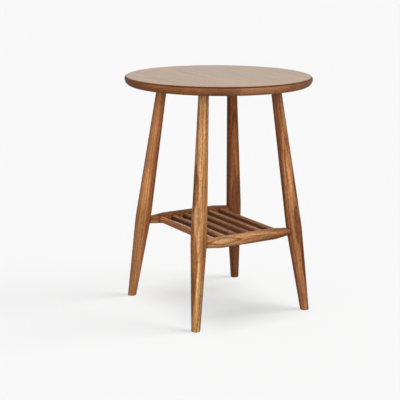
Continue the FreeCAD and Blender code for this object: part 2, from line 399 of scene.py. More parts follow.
class Wiring:
    """Adds nodes to a node tree and wires them up."""

    def __init__(self, tree: bpy.types.NodeTree) -> None:
        """Keeps the tree to work on."""
        self.tree = tree

    def node(self, kind: str, inputs: Mapping[str | int, object], **settings: object) -> bpy.types.Node:
        """Adds a node.

        Args:
            kind: Blender's name for the kind of node, without ShaderNode.
            inputs: Plain values and sockets to link, by the name or number of the input.
            **settings: Properties of the node.

        Returns:
            The node.
        """
        made = self.tree.nodes.new(f"ShaderNode{kind}")
        for name, value in settings.items():
            setattr(made, name, value)
        self.fill(made, inputs)
        return made

    def fill(self, node: bpy.types.Node, inputs: Mapping[str | int, object]) -> None:
        """Feeds the inputs of a node.

        Args:
            node: The node.
            inputs: Plain values and sockets to link, by the name or number of the input.
        """
        for name, value in inputs.items():
            if isinstance(value, bpy.types.NodeSocket):
                self.tree.links.new(value, node.inputs[name])
            else:
                node.inputs[name].default_value = value

    def math(self, operation: str, *values: object, clamp: bool = False) -> Socket:
        """Works out a number from one to three others with Blender's operation of that name."""
        inputs = dict(enumerate(values))
        return self.node("Math", inputs, operation=operation, use_clamp=clamp).outputs["Value"]

    def times(self, first: object, second: object, plus: object = 0.0, clamp: bool = False) -> Socket:
        """Multiplies two numbers and adds a third."""
        return self.math("MULTIPLY_ADD", first, second, plus, clamp=clamp)

    def vector(self, operation: str, inputs: Mapping[str | int, object], output: str = "Vector") -> Socket:
        """Works out a vector or a number with Blender's vector operation of that name."""
        return self.node("VectorMath", inputs, operation=operation).outputs[output]

    def noise(
        self, place: Socket, across: float, along: float, detail: float = 2.0, rough: float = 0.5
    ) -> Socket:
        """Soft noise in a log, from 0 to 1 and mostly near 0.5.

        Args:
            place: A place in the log.
            across: How often it changes in a metre across the grain.
            along: How often it changes in a metre along the grain.
            detail: How many finer layers are added.
            rough: Weight of each finer layer.

        Returns:
            The noise.
        """
        scaled = self.vector("MULTIPLY", {0: place, 1: (across, across, along)})
        layers = {"Vector": scaled, "Scale": 1.0, "Detail": detail, "Roughness": rough}
        return self.node("TexNoise", layers).outputs["Fac"]

    def line_noise(self, place: Socket, scale: float) -> Socket:
        """Soft noise along one number, from 0 to 1."""
        inputs = {"W": place, "Scale": scale, "Detail": 1.0}
        return self.node("TexNoise", inputs, noise_dimensions="1D").outputs["Fac"]

    def chance(self, number: Socket) -> Socket:
        """A number from 0 to 1 that chance picks anew for every whole number."""
        return self.node("TexWhiteNoise", {"W": number}, noise_dimensions="1D").outputs["Value"]

    def band(self, value: Socket, low: float, high: float, least: object = 0.0, most: object = 1.0) -> Socket:
        """Eases from the least to the most while a value goes from low to high."""
        limits = {"Value": value, "From Min": low, "From Max": high, "To Min": least, "To Max": most}
        return self.node("MapRange", limits, interpolation_type="SMOOTHSTEP").outputs["Result"]

    def blend(self, share: object, first: Socket, second: Socket, kind: str = "MIX") -> Socket:
        """Blends a share of the second colour into the first, in Blender's way of that name."""
        inputs = {0: share, 6: first, 7: second}
        return self.node("Mix", inputs, data_type="RGBA", blend_type=kind, clamp_factor=True).outputs[2]

    def attribute(self, name: str, output: str = "Fac") -> Socket:
        """Reads an attribute of the mesh."""
        return self.node("Attribute", {}, attribute_name=name).outputs[output]


def emptied(holder: bpy.types.Material | bpy.types.World) -> Wiring:
    """Clears the nodes of a material or of a world.

    Args:
        holder: The material or the world.

    Returns:
        Its wiring.
    """
    holder.use_nodes = True
    holder.node_tree.nodes.clear()
    return Wiring(holder.node_tree)


class Kind(Enum):
    """Kinds of socket on the outside of a node group."""

    NUMBER = "NodeSocketFloat"
    PLACE = "NodeSocketVector"
    COLOUR = "NodeSocketColor"


COLOURS = ("Pale", "Middle", "Dark", "Heart Colour", "Pore And Shade Colour")
KINDS = dict.fromkeys((*COLOURS, "Stain", "Colour"), Kind.COLOUR)
KINDS |= dict.fromkeys(("Place", "Normal"), Kind.PLACE)


class Effect(Wiring):
    """A node group that several materials share, with the wiring of its inside.

    Attributes:
        name: Name of the group.
        takes: Names of its inputs.
        gives: Names of its outputs.
    """

    name = "effect"
    takes: tuple[str, ...] = ()
    gives: tuple[str, ...] = ()

    def __init__(self) -> None:
        """Makes the group with its named inputs and outputs."""
        super().__init__(bpy.data.node_groups.new(self.name, "ShaderNodeTree"))
        for way, names in (("INPUT", self.takes), ("OUTPUT", self.gives)):
            for name in names:
                kind = KINDS.get(name, Kind.NUMBER)
                self.tree.interface.new_socket(name, in_out=way, socket_type=kind.value)
        inside = self.tree.nodes.new("NodeGroupInput").outputs
        self.fill(self.tree.nodes.new("NodeGroupOutput"), self.draw(inside))

    def draw(self, inside: Mapping[str, Socket]) -> Mapping[str, Socket]:
        """Draws the inside of the group.

        Args:
            inside: The group's inputs by name.

        Returns:
            What each output gives, by name.
        """
        raise NotImplementedError

    def use(self, wiring: Wiring, known: Mapping[str, object]) -> Mapping[str, Socket]:
        """Puts the group into a material, feeds it by name and names what it gives."""
        made = wiring.node("Group", {name: known[name] for name in self.takes}, node_tree=self.tree)
        return {name: made.outputs[name] for name in self.gives}


class LogRings(Effect):
    """Growth rings of a log, as masks.

    A ring is a sleeve round the heart. Its distance from the heart wanders with slow noise,
    slower along the log than across it. Each ring starts with a porous band, which takes
    more stain, and ends in dense pale wood.
    """

    name = "log_rings"
    takes = ("Place", "Ring Width", "Wander", "Heart Radius")
    gives = ("Early Wood", "Ring Tone", "Heart")

    def draw(self, inside: Mapping[str, Socket]) -> Mapping[str, Socket]:
        """Draws the rings; see the class for what they are."""
        place = inside["Place"]
        flat = self.vector("MULTIPLY", {0: place, 1: (1.0, 1.0, 0.0)})
        slow = self.math("SUBTRACT", self.noise(place, 26.0, 2.4), 0.5)
        quick = self.math("SUBTRACT", self.noise(place, 170.0, 11.0), 0.5)
        wander = self.times(quick, 0.12, slow)
        far = self.times(wander, inside["Wander"], self.vector("LENGTH", {0: flat}, "Value"))
        uneven = self.line_noise(far, 55.0)
        rings = self.math("ADD", self.math("DIVIDE", far, inside["Ring Width"]), uneven)
        phase = self.math("FRACT", rings)
        porous = self.math("MAXIMUM", self.band(phase, 0.06, 0.32, 1.0, 0.0), self.band(phase, 0.92, 1.0))
        good_year = self.band(self.chance(self.math("ROUND", rings)), 0.2, 0.8, 0.25, 1.0)
        broad = self.band(self.line_noise(far, 130.0), 0.3, 0.7)
        own_tone = self.times(self.chance(self.math("FLOOR", rings)), 0.45)
        return {
            "Early Wood": self.times(porous, good_year),
            "Ring Tone": self.times(broad, 0.55, own_tone),
            "Heart": self.band(self.math("SUBTRACT", inside["Heart Radius"], far), -0.0012, 0.0012),
        }


class WoodFibre(Effect):
    """Streaks, fine fibre and open pores, all drawn out along the grain.

    Attributes:
        masks: For each mask its noise across and along the grain, the noise's detail and
            roughness, and the range in which the mask comes in.
    """

    masks = {
        "Streaks": (240.0, 5.0, 3.0, 0.6, 0.30, 0.70),
        "Fibre": (1300.0, 26.0, 2.0, 0.6, 0.28, 0.72),
        "Flecks": (460.0, 150.0, 1.0, 0.5, 0.34, 0.62),
        "Pores": (1700.0, 110.0, 1.0, 0.5, 0.56, 0.68),
        "Clouds": (30.0, 9.0, 2.0, 0.5, 0.30, 0.70),
    }

    name = "wood_fibre"
    takes = ("Place", "Early Wood")
    gives = tuple(masks)

    def draw(self, inside: Mapping[str, Socket]) -> Mapping[str, Socket]:
        """Draws the masks, with most of the pores in the porous bands."""
        drawn = {}
        for name, (*layers, low, high) in self.masks.items():
            drawn[name] = self.band(self.noise(inside["Place"], *layers), low, high)
        drawn["Pores"] = self.times(drawn["Pores"], self.times(inside["Early Wood"], 0.7, 0.3))
        return drawn


class StainedColour(Effect):
    """Colour of stained wood: rings, fibre, pores, cut ends, painted shade and painted dark lines."""

    name = "stained_colour"
    takes = (*COLOURS, *LogRings.gives, *WoodFibre.gives, "Figure", "Unevenness", "Stain")
    takes += ("Joint Shade", "Painted Dark Line", "End Grain")
    gives = ("Colour",)

    def draw(self, inside: Mapping[str, Socket]) -> Mapping[str, Socket]:
        """Lays the colours over each other, from the broad ones to the fine ones."""
        figure = inside["Figure"]
        tone = self.times(self.math("SUBTRACT", inside["Ring Tone"], 0.5), figure, 0.5)
        tone = self.times(tone, 0.6, self.times(inside["Streaks"], 0.4))
        colour = self.blend(tone, inside["Middle"], inside["Pale"])
        heart = self.times(inside["Heart"], self.times(figure, 0.4, 0.35))
        colour = self.blend(heart, colour, inside["Heart Colour"])
        early = self.times(inside["Early Wood"], self.times(inside["Fibre"], 0.35, 0.55))
        early = self.times(early, self.times(figure, 0.8, 0.2))
        colour = self.blend(early, colour, inside["Dark"])
        colour = self.blend(self.times(inside["Pores"], 0.6), colour, inside["Pore And Shade Colour"])
        for mask, depth in (("Fibre", 0.14), ("Flecks", 0.34), ("Clouds", 0.28)):
            share = self.times(self.math("SUBTRACT", inside[mask], 0.57), inside["Unevenness"])
            colour = self.vector("SCALE", {0: colour, "Scale": self.times(share, depth, 1.0)})
        colour = self.blend(1.0, colour, inside["Stain"], "MULTIPLY")
        colour = self.blend(self.times(inside["End Grain"], 0.25), colour, inside["Dark"])
        # Painted shade: corners where parts meet, and the painted dark lines, take the pore colour.
        dark = self.math("MAXIMUM", self.times(inside["Joint Shade"], 0.7), inside["Painted Dark Line"])
        return {"Colour": self.blend(dark, colour, inside["Pore And Shade Colour"])}


class SatinSurface(Effect):
    """Roughness and relief of satin lacquer that sinks a little into open pores."""

    name = "satin_surface"
    takes = ("Smoothest", "Early Wood", "Fibre", "Pores", "Clouds", "Joint Shade")
    gives = ("Roughness", "Normal")

    def draw(self, inside: Mapping[str, Socket]) -> Mapping[str, Socket]:
        """Pores and corners are rougher, and pores and porous bands lie lower."""
        rough = self.times(inside["Pores"], 0.22, inside["Smoothest"])
        rough = self.times(inside["Clouds"], 0.06, rough)
        rough = self.times(inside["Joint Shade"], 0.25, rough, clamp=True)
        low = self.times(inside["Early Wood"], 0.35, inside["Pores"])
        height = self.times(inside["Fibre"], 0.25, self.times(low, -1.0))
        relief = self.node("Bump", {"Strength": 0.35, "Distance": 0.00012, "Height": height})
        return {"Roughness": rough, "Normal": relief.outputs["Normal"]}


@dataclass(frozen=True)
class StainedWood:
    """Coarse-grained wood, stained and lacquered.

    Attributes:
        slot: The record's material slot.
        effects: The shared node groups, each after those that feed it.
        rubbed: Whether the lacquer is rubbed to a gloss in places.
        pale: Screen colour of dense wood.
        middle: Screen colour of common wood.
        dark: Screen colour of the porous bands.
        heart: Screen colour of heartwood.
        pore_and_shade: Screen colour inside pores, which painted shade in corners and painted dark lines also
            take.
        ring_width: Mean width of a growth ring.
        wander: How far the rings wander from true circles.
        heart_radius: Radius of the heartwood in the log.
        smoothest: Roughness of the lacquer on dense wood.
        reflection: Strength of the wood's own dull shine, where 0.5 is common.
        gloss_roughness: Roughness of the rubbed lacquer.
        refraction: Index of refraction of the lacquer.
        material: The material, wired when the finish is made.
    """

    slot: Slot
    effects: tuple[Effect, ...]
    rubbed: bool = False
    pale: Screen = (226, 172, 116)
    middle: Screen = (188, 124, 79)
    dark: Screen = (116, 60, 36)
    heart: Screen = (154, 92, 56)
    pore_and_shade: Screen = (60, 30, 19)
    ring_width: float = 0.0052
    wander: float = 0.012
    heart_radius: float = 0.060
    smoothest: float = 0.48
    reflection: float = 0.12
    gloss_roughness: float = 0.25
    refraction: float = 1.45
    material: bpy.types.Material = field(init=False)

    def __post_init__(self) -> None:
        """Makes the material once, when the finish is mixed."""
        object.__setattr__(self, "material", self.mix())

    def mix(self) -> bpy.types.Material:
        """Wires the material.

        Returns:
            The material.
        """
        material = bpy.data.materials.new(self.slot.value)
        wiring = emptied(material)
        figure = wiring.attribute("figure")
        known = {
            "Place": wiring.attribute("grain_place", "Vector"),
            "Ring Width": self.ring_width,
            "Wander": self.wander,
            "Heart Radius": self.heart_radius,
            "Smoothest": self.smoothest,
            "Figure": figure,
            "Unevenness": wiring.math("MINIMUM", wiring.math("ADD", figure, 0.3), 1.1),
            "Stain": wiring.attribute("stain", "Vector"),
            "Joint Shade": wiring.attribute("joint_shade"),
            "Painted Dark Line": wiring.attribute("painted_dark_line"),
            "End Grain": wiring.attribute("end_grain"),
        }
        screen = (self.pale, self.middle, self.dark, self.heart, self.pore_and_shade)
        known |= {name: paint(*colour) for name, colour in zip(COLOURS, screen)}
        for effect in self.effects:
            known |= effect.use(wiring, known)
        look = {name: known[source] for name, source in (("Base Color", "Colour"), ("Normal", "Normal"))}
        look |= {"Roughness": known["Roughness"], "IOR": self.refraction, "Specular IOR Level": self.reflection}
        if self.rubbed:
            look |= {"Coat Weight": wiring.attribute("polish"), "Coat Roughness": self.gloss_roughness}
        shader = wiring.node("BsdfPrincipled", look)
        wiring.node("OutputMaterial", {"Surface": shader.outputs["BSDF"]})
        return material


# The table's sub-assemblies


@dataclass(frozen=True)
class TurnedLegs:
    """The four turned legs, which lean outwards from the round top to the floor.

    Attributes:
        foot: Distance of each leg's middle from the table's, in x and y, at the floor.
        neck: The same at the underside of the top.
        underside: Height of the underside of the top.
        tenon_top: Height of the end of each tenon.
        foot_radius: Radius at the floor.
        belly_radius: Radius where the two tapers would meet.
        belly_height: Height at which they meet.
        belly_reach: Half the length over which the belly is rounded.
        neck_radius: Radius at the underside and of the tenon.
        foot_rounding: Rounding of the foot's edge.
        chamfer: Chamfer on the end of the tenon.
        sides: The side of the table in x and y on which each leg stands.
        billets: The wood of each leg; the back-right leg's deeper stain is partly painted shade.
        flames: Leaves of darker and paler wood on each leg; on the back legs some are painted shade
        down a side and a painted highlight.
    """

    foot: tuple[float, float] = (0.1565, 0.158)
    neck: tuple[float, float] = (0.100, 0.0955)
    underside: float = 0.548
    tenon_top: float = 0.562
    foot_radius: float = 0.0105
    belly_radius: float = 0.0192
    belly_height: float = 0.206
    belly_reach: float = 0.0156
    neck_radius: float = 0.0120
    foot_rounding: float = 0.0012
    chamfer: float = 0.001

    sides = {
        "front_left_leg": (-1, -1),
        "front_right_leg": (1, -1),
        "back_left_leg": (-1, 1),
        "back_right_leg": (1, 1),
    }
    billets = {
        "front_left_leg": Billet((-0.058, 0.0155), (0.006, 0.008), 0.30, (0.80, 0.80, 0.84), 0.8),
        "front_right_leg": Billet((-0.0456, 0.0307), (-0.010, 0.008), 1.45, (0.77, 0.69, 0.76), 0.8),
        "back_left_leg": Billet((-0.0719, -0.0009), (-0.0174, -0.0002), 2.60, (0.92, 0.81, 0.84), 0.45),
        # Deeper stain on the back-right leg, partly painted shade.
        "back_right_leg": Billet((0.052, 0.030), (0.008, 0.010), 3.70, (0.49, 0.37, 0.40), 0.7),
    }
    flames = {
        "front_left_leg": (
            Flame(0.030, 0.262, -46, 104, (0.65, 0.50, 0.46)),
            Flame(0.035, 0.265, 12, 17, (1.34, 1.46, 1.66), 0, 4),
            Flame(0.275, 0.392, -42, 80, (0.65, 0.50, 0.46)),
            Flame(0.290, 0.540, -4, 28, (1.30, 1.42, 1.64), -26),
            Flame(0.345, 0.500, -48, 16, (1.24, 1.32, 1.40), 0, 5),
            Flame(0.330, 0.530, -32, 10, (0.62, 0.48, 0.44), -6, 3),
            Flame(0.400, 0.640, -62, 50, (0.74, 0.60, 0.54)),
            Flame(0.225, 0.430, 30, 9, (0.54, 0.42, 0.36), 0, 2),
            Flame(0.160, 0.350, 46, 9, (0.58, 0.46, 0.40), 6, 2),
            Flame(0.380, 0.600, 15, 9, (0.66, 0.55, 0.48), 0, 3),
            Flame(0.400, 0.600, 29, 9, (1.14, 1.16, 1.22), 0, 3),
            Flame(0.330, 0.600, 48, 12, (0.62, 0.50, 0.43), 0, 4),
            Flame(0.120, 0.250, 50, 54, (0.80, 0.66, 0.62), 0, 12),
            Flame(-0.100, 0.110, 12, 60, (1.14, 1.18, 1.05), 0, 14),
            Flame(0.195, 0.345, -24, 28, (1.30, 1.38, 1.48)),
        ),
        "front_right_leg": (
            Flame(0.180, 0.640, -147, 66, (0.66, 0.56, 0.50), 0, 12),
            Flame(0.270, 0.430, -54, 22, (1.30, 1.36, 1.20), -6),
            Flame(0.210, 0.420, -66, 9, (1.34, 1.42, 1.42), 0, 2),
            Flame(0.190, 0.330, -82, 10, (1.28, 1.34, 1.34), 0, 3),
            Flame(0.262, 0.360, -4, 58, (0.50, 0.40, 0.34)),
            Flame(0.045, 0.190, -8, 70, (0.46, 0.38, 0.34)),
            Flame(-0.150, 0.260, -74, 160, (0.94, 0.88, 0.85), 0, 14),
            Flame(0.440, 0.700, -74, 120, (1.00, 0.95, 0.98), 0, 14),
            Flame(0.380, 0.620, -92, 10, (0.64, 0.54, 0.50), 4, 3),
            Flame(0.420, 0.640, -60, 11, (0.62, 0.52, 0.50), -6, 3),
        ),
        "back_left_leg": (
            # Painted shade down one side of the leg.
            Flame(0.060, 0.620, 26, 50, (0.72, 0.63, 0.58), 0, 14),
            Flame(0.230, 0.345, 94, 60, (1.20, 1.26, 1.24), 0, 14),
            Flame(0.345, 0.600, 90, 34, (1.12, 1.14, 1.14), 0, 12),
            # Painted highlight, a pinkish leaf beside the middle.
            Flame(0.330, 0.600, 122, 26, (1.10, 1.08, 1.22), 0, 12),
            # Painted shade down the opposite side.
            Flame(0.150, 0.620, 184, 60, (0.62, 0.52, 0.46), 0, 12),
        ),
        "back_right_leg": (
            # Painted shade down one side of the leg.
            Flame(0.200, 0.640, -230, 76, (0.74, 0.64, 0.58)),
            # Painted highlight down the other side.
            Flame(0.250, 0.560, -140, 34, (1.30, 1.34, 1.15), 0, 10),
            Flame(0.270, 0.350, -152, 16, (0.66, 0.54, 0.54)),
            Flame(0.290, 0.365, -140, 12, (1.34, 1.36, 1.20)),
            Flame(0.240, 0.300, -132, 26, (0.70, 0.58, 0.58)),
        ),
    }

    def splay(self) -> tuple[float, float]:
        """How far a leg moves outwards in x and y from its neck to the floor."""
        return self.foot[0] - self.neck[0], self.foot[1] - self.neck[1]

    def tilt(self) -> float:
        """Angle between a leg and the upright."""
        return math.atan(math.hypot(*self.splay()) / self.underside)

    def stance(self, side_x: int, side_y: int) -> Stance:
        """A leg's own axes: z runs up the leg, and x points outwards in its upright plane.

        Args:
            side_x: The leg's side of the table in x.
            side_y: The leg's side of the table in y.

        Returns:
            The stance, with its zero in the middle of the foot.
        """
        outward = np.array([side_x * self.splay()[0], side_y * self.splay()[1], 0.0])
        outward /= np.linalg.norm(outward)
        lean, rise = math.sin(self.tilt()), math.cos(self.tilt())
        origin = (side_x * self.foot[0], side_y * self.foot[1], 0.0)
        return Stance(origin, rise * outward + lean * Z, rise * Z - lean * outward)

    def radius(self, along: Array) -> Array:
        """Radius of a leg: two straight tapers that meet in a softly rounded belly.

        Args:
            along: Places along the leg from the middle of its foot.

        Returns:
            The radius at each place.
        """
        rise = math.cos(self.tilt())
        belly, neck = self.belly_height / rise, self.underside / rise
        opening = (self.belly_radius - self.foot_radius) / belly
        closing = (self.neck_radius - self.belly_radius) / (neck - belly)
        past = 0.05
        corners = [
            (-past, self.foot_radius - past * opening),
            (belly, self.belly_radius),
            (neck + past, self.neck_radius + past * closing),
        ]
        return np.maximum(softened(along, corners, self.belly_reach), self.neck_radius * (along > belly))

    def surface(self, rows: int = 300, columns: int = 128) -> ClosedSurface:
        """A leg's surface, cut level at the floor, in its own axes.

        A point on it is x = r cos a, y = r sin a. On a level ring its z follows from the
        height h of the ring above the floor: z = (h - x sin t) / cos t, with t the tilt. The
        level sole widens from its middle, a quarter round leads from it up to the wall, and
        the wall's rows then turn gradually square to the leg.

        Args:
            rows: Number of rows on the wall.
            columns: Number of points round each row.

        Returns:
            The surface.
        """
        rise = math.cos(self.tilt())
        angle = np.linspace(0, 2 * math.pi, columns, endpoint=False)
        dip = np.cos(angle) * math.sin(self.tilt())
        slope = (self.belly_radius - self.foot_radius) / (self.belly_height / rise)
        start = (self.foot_rounding - self.foot_radius * dip) / (rise + slope * dip)
        wall_foot = self.foot_radius + slope * start
        quarter = np.linspace(math.pi / 2, 0, 7)[:, None]
        inset, height = (self.foot_rounding * (1 - part(quarter)) for part in (np.cos, np.sin))
        sole = np.linspace(0.2, 1, 6)[:-1, None]
        level_radius = np.vstack([sole * (wall_foot - self.foot_rounding), wall_foot - inset])
        level_along = (np.vstack([0 * sole, height]) - level_radius * dip) / rise

        tip = self.tenon_top / rise
        share = np.linspace(0, 1, rows)[1:, None]
        wall_along = start + share * (tip - self.chamfer - start)
        tip_radius = np.full((1, columns), self.neck_radius - self.chamfer)
        along = np.vstack([level_along, wall_along, np.full((1, columns), tip)])
        radius = np.vstack([level_radius, self.radius(wall_along), tip_radius])
        rings = np.stack([radius * np.cos(angle), radius * np.sin(angle), along], axis=-1)
        return ClosedSurface(rings, 0 * Z, tip * Z)

    def leg(self, node: str, finish: StainedWood, shelf: "RodShelf") -> Object:
        """Builds one leg, with painted shade under the top and round the rail.

        Args:
            node: The leg's node.
            finish: Its finish.
            shelf: The shelf whose rail enters it.

        Returns:
            The leg.
        """
        surface, stance = self.surface(), self.stance(*self.sides[node])
        points = stance.place(surface.points())
        rail = shelf.rail_mouth(*self.sides[node])
        # Painted shade in a ring round the rail where it enters the leg, and in a band just under the top.
        under_rail = rail.crowding(points, shelf.rail_neck_radius, reach=0.0022, one_way=True)
        joint_shade = np.maximum(under_rail, np.exp(-np.abs(self.underside - points[:, 2]) / 0.0025))
        tint = flamed(surface, self.flames[node])
        return Piece(node, surface, stance, self.billets[node], joint_shade, tint=tint).add(finish)

    def build(self, finish: StainedWood, shelf: "RodShelf") -> list[Object]:
        """Builds the four legs."""
        return [self.leg(node, finish, shelf) for node in self.sides]


@dataclass(frozen=True)
class RodShelf:
    """The lower shelf: two turned rails between the legs, and straight rods between them.

    Attributes:
        height: Height of the middle of rails and rods.
        leg_x: Distance of a leg's middle from the table's in x, at the shelf.
        leg_y: The same in y.
        leg_radius: Radius of a leg at the shelf.
        barrel_radius: Radius of a rail's barrel.
        taper_length: Length of each taper.
        rail_neck_radius: Radius of a rail's neck and tenon.
        neck_relief: Stretch of neck outside the leg.
        rail_tenon: How deep a rail enters a leg.
        corner_reach: Half the length over which a rail's corners are rounded.
        rod_count: Number of rods.
        rod_margin: Distance from the outermost rod's middle to the leg's face.
        rod_radius: Radius of a rod.
        rod_tenon: How deep a rod enters a rail.
        chamfer: Chamfer on the end of each tenon.
        rails: The side of the table in y on which each rail lies.
        billets: The wood of each rail.
        flames: Leaves of darker and paler wood on each rail; the front rail's last is painted shade.
        rod_shades: Share of red kept on each rod, from -x to +x; the rods behind the first are
        darker, partly as painted shade.
    """

    height: float = 0.198
    leg_x: float = 0.136086
    leg_y: float = 0.135418
    leg_radius: float = 0.0192
    barrel_radius: float = 0.01385
    taper_length: float = 0.0396
    rail_neck_radius: float = 0.0095
    neck_relief: float = 0.0015
    rail_tenon: float = 0.022
    corner_reach: float = 0.003
    rod_count: int = 6
    rod_margin: float = 0.0286
    rod_radius: float = 0.00775
    rod_tenon: float = 0.015
    chamfer: float = 0.001

    rails = {"front_shelf_rail": -1, "back_shelf_rail": 1}
    billets = {
        "front_shelf_rail": Billet((0.048, -0.0138), (0.050, -0.020), 5.10, (0.92, 0.96, 1.00)),
        "back_shelf_rail": Billet((-0.030, 0.052), (-0.012, 0.020), 6.20, (0.80, 0.76, 0.74)),
    }
    flames = {
        "front_shelf_rail": (
            Flame(-0.045, 0.040, 172, 14, (0.66, 0.58, 0.54), -16, 4),
            Flame(-0.010, 0.060, 156, 12, (0.70, 0.62, 0.58), 12, 4),
            Flame(0.010, 0.085, 176, 12, (0.68, 0.60, 0.56), -8, 4),
            Flame(-0.030, 0.075, 142, 10, (1.20, 1.26, 1.30), 0, 4),
            Flame(0.055, 0.150, 160, 44, (1.18, 1.20, 1.22), 0, 10),
            # Painted shade on the lower front of the rail's +x end.
            Flame(0.050, 0.150, 205, 46, (0.72, 0.62, 0.58), 0, 12),
        ),
        "back_shelf_rail": (
            Flame(-0.140, -0.080, -168, 40, (1.20, 1.26, 1.28), 0, 8),
            Flame(-0.120, 0.030, 172, 14, (0.74, 0.66, 0.62), 10, 5),
        ),
    }
    # The rods behind the first are darker, partly as painted shade.
    rod_shades = (0.98, 0.76, 0.60, 0.62, 0.66, 0.61)

    def leg_face(self) -> float:
        """Distance of the legs' inner faces from the table's middle in x."""
        return self.leg_x - self.leg_radius

    def rod_places(self) -> Array:
        """Places of the rods in x."""
        outer = self.leg_face() - self.rod_margin
        return np.linspace(-outer, outer, self.rod_count)

    def rail_mouth(self, side_x: int, side_y: int) -> Stance:
        """A stance in the middle of a leg whose z runs along the rail, out of the leg."""
        return Stance((side_x * self.leg_x, side_y * self.leg_y, self.height), Z, -side_x * X)

    def rod_mouth(self, place: float, side: int) -> Stance:
        """A stance in the middle of a rail whose z runs along a rod, out of the rail."""
        return Stance((place, side * self.leg_y, self.height), Z, -side * Y)

    def rail_stance(self, side: int) -> Stance:
        """A rail's own axes: z along the table's x, with its zero in the rail's middle."""
        return Stance((0.0, side * self.leg_y, self.height), Y, X)

    def rail_surface(self) -> ClosedSurface:
        """A rail: barrel, straight taper, neck and tenon.

        Returns:
            The surface.
        """
        neck = self.leg_face() - self.neck_relief
        half = [
            (neck - self.taper_length, self.barrel_radius),
            (neck, self.rail_neck_radius),
            (self.leg_face() + self.rail_tenon, self.rail_neck_radius),
        ]
        return turned_bar(half, self.chamfer, self.corner_reach, rows=280, columns=96)

    def rod_surface(self) -> ClosedSurface:
        """A straight rod with its two ends in the rails."""
        half = [(self.leg_y - self.barrel_radius + self.rod_tenon, self.rod_radius)]
        return turned_bar(half, self.chamfer, self.corner_reach, rows=170, columns=64)

    def rail(self, node: str, finish: StainedWood, legs: TurnedLegs) -> Object:
        """Builds one rail, with painted shade at the legs and round the rods.

        Args:
            node: The rail's node.
            finish: Its finish.
            legs: The legs that carry it.

        Returns:
            The rail.
        """
        side, surface = self.rails[node], self.rail_surface()
        stance = self.rail_stance(side)
        points = stance.place(surface.points())
        # Painted shade where the rail meets the legs and round each rod's mouth.
        near = [legs.stance(x, side).crowding(points, self.leg_radius, reach=0.002) for x in (-1, 1)]
        for place in self.rod_places():
            mouth = self.rod_mouth(place, side)
            near.append(mouth.crowding(points, self.rod_radius, reach=0.0014, one_way=True))
        rise = (points[:, 2] - self.height) / self.barrel_radius
        polish = np.interp(rise, [0.2, 0.8], [0.0, 0.5])
        tint = flamed(surface, self.flames[node])
        piece = Piece(node, surface, stance, self.billets[node], np.max(near, axis=0), 0.0, polish, tint)
        return piece.add(finish)

    def rod(self, index: int, finish: StainedWood) -> Object:
        """Builds one rod, with painted shade on its lower flank and at the rails.

        Args:
            index: Its number from 0, from -x to +x.
            finish: Its finish.

        Returns:
            The rod.
        """
        surface, stance = self.rod_surface(), Stance((self.rod_places()[index], 0.0, self.height), Z, Y)
        points = stance.place(surface.points())
        # Painted shade where the rod enters the rails.
        near = [self.rail_stance(side).crowding(points, self.barrel_radius, reach=0.002) for side in (-1, 1)]
        # A darker tone on the rods behind the first, partly painted shade.
        shade = self.rod_shades[index]
        billet = Billet(
            (0.034 * math.cos(1.9 * index), 0.058 + 0.004 * index),
            (0.008 * math.sin(index), 0.010),
            7.0 + 1.1 * index,
            (shade, shade * 0.88, shade * 0.82),
        )
        rise = (points[:, 2] - self.height) / self.rod_radius
        polish = np.interp(rise, [0.5, 0.95], [0.0, 0.4])
        # Painted shade on the lower flank of every rod but the first, which no rod hides from the light.
        line = np.interp(rise, [-0.6, -0.3, 0.35, 0.85], [0.1, 0.7, 0.75, 0.0]) * (index > 0)
        piece = Piece(f"shelf_rod_{index + 1}", surface, stance, billet, np.max(near, axis=0), line, polish)
        return piece.add(finish)

    def build(self, finish: StainedWood, legs: TurnedLegs) -> list[Object]:
        """Builds the rails and the rods."""
        rails = [self.rail(node, finish, legs) for node in self.rails]
        return rails + [self.rod(index, finish) for index in range(self.rod_count)]


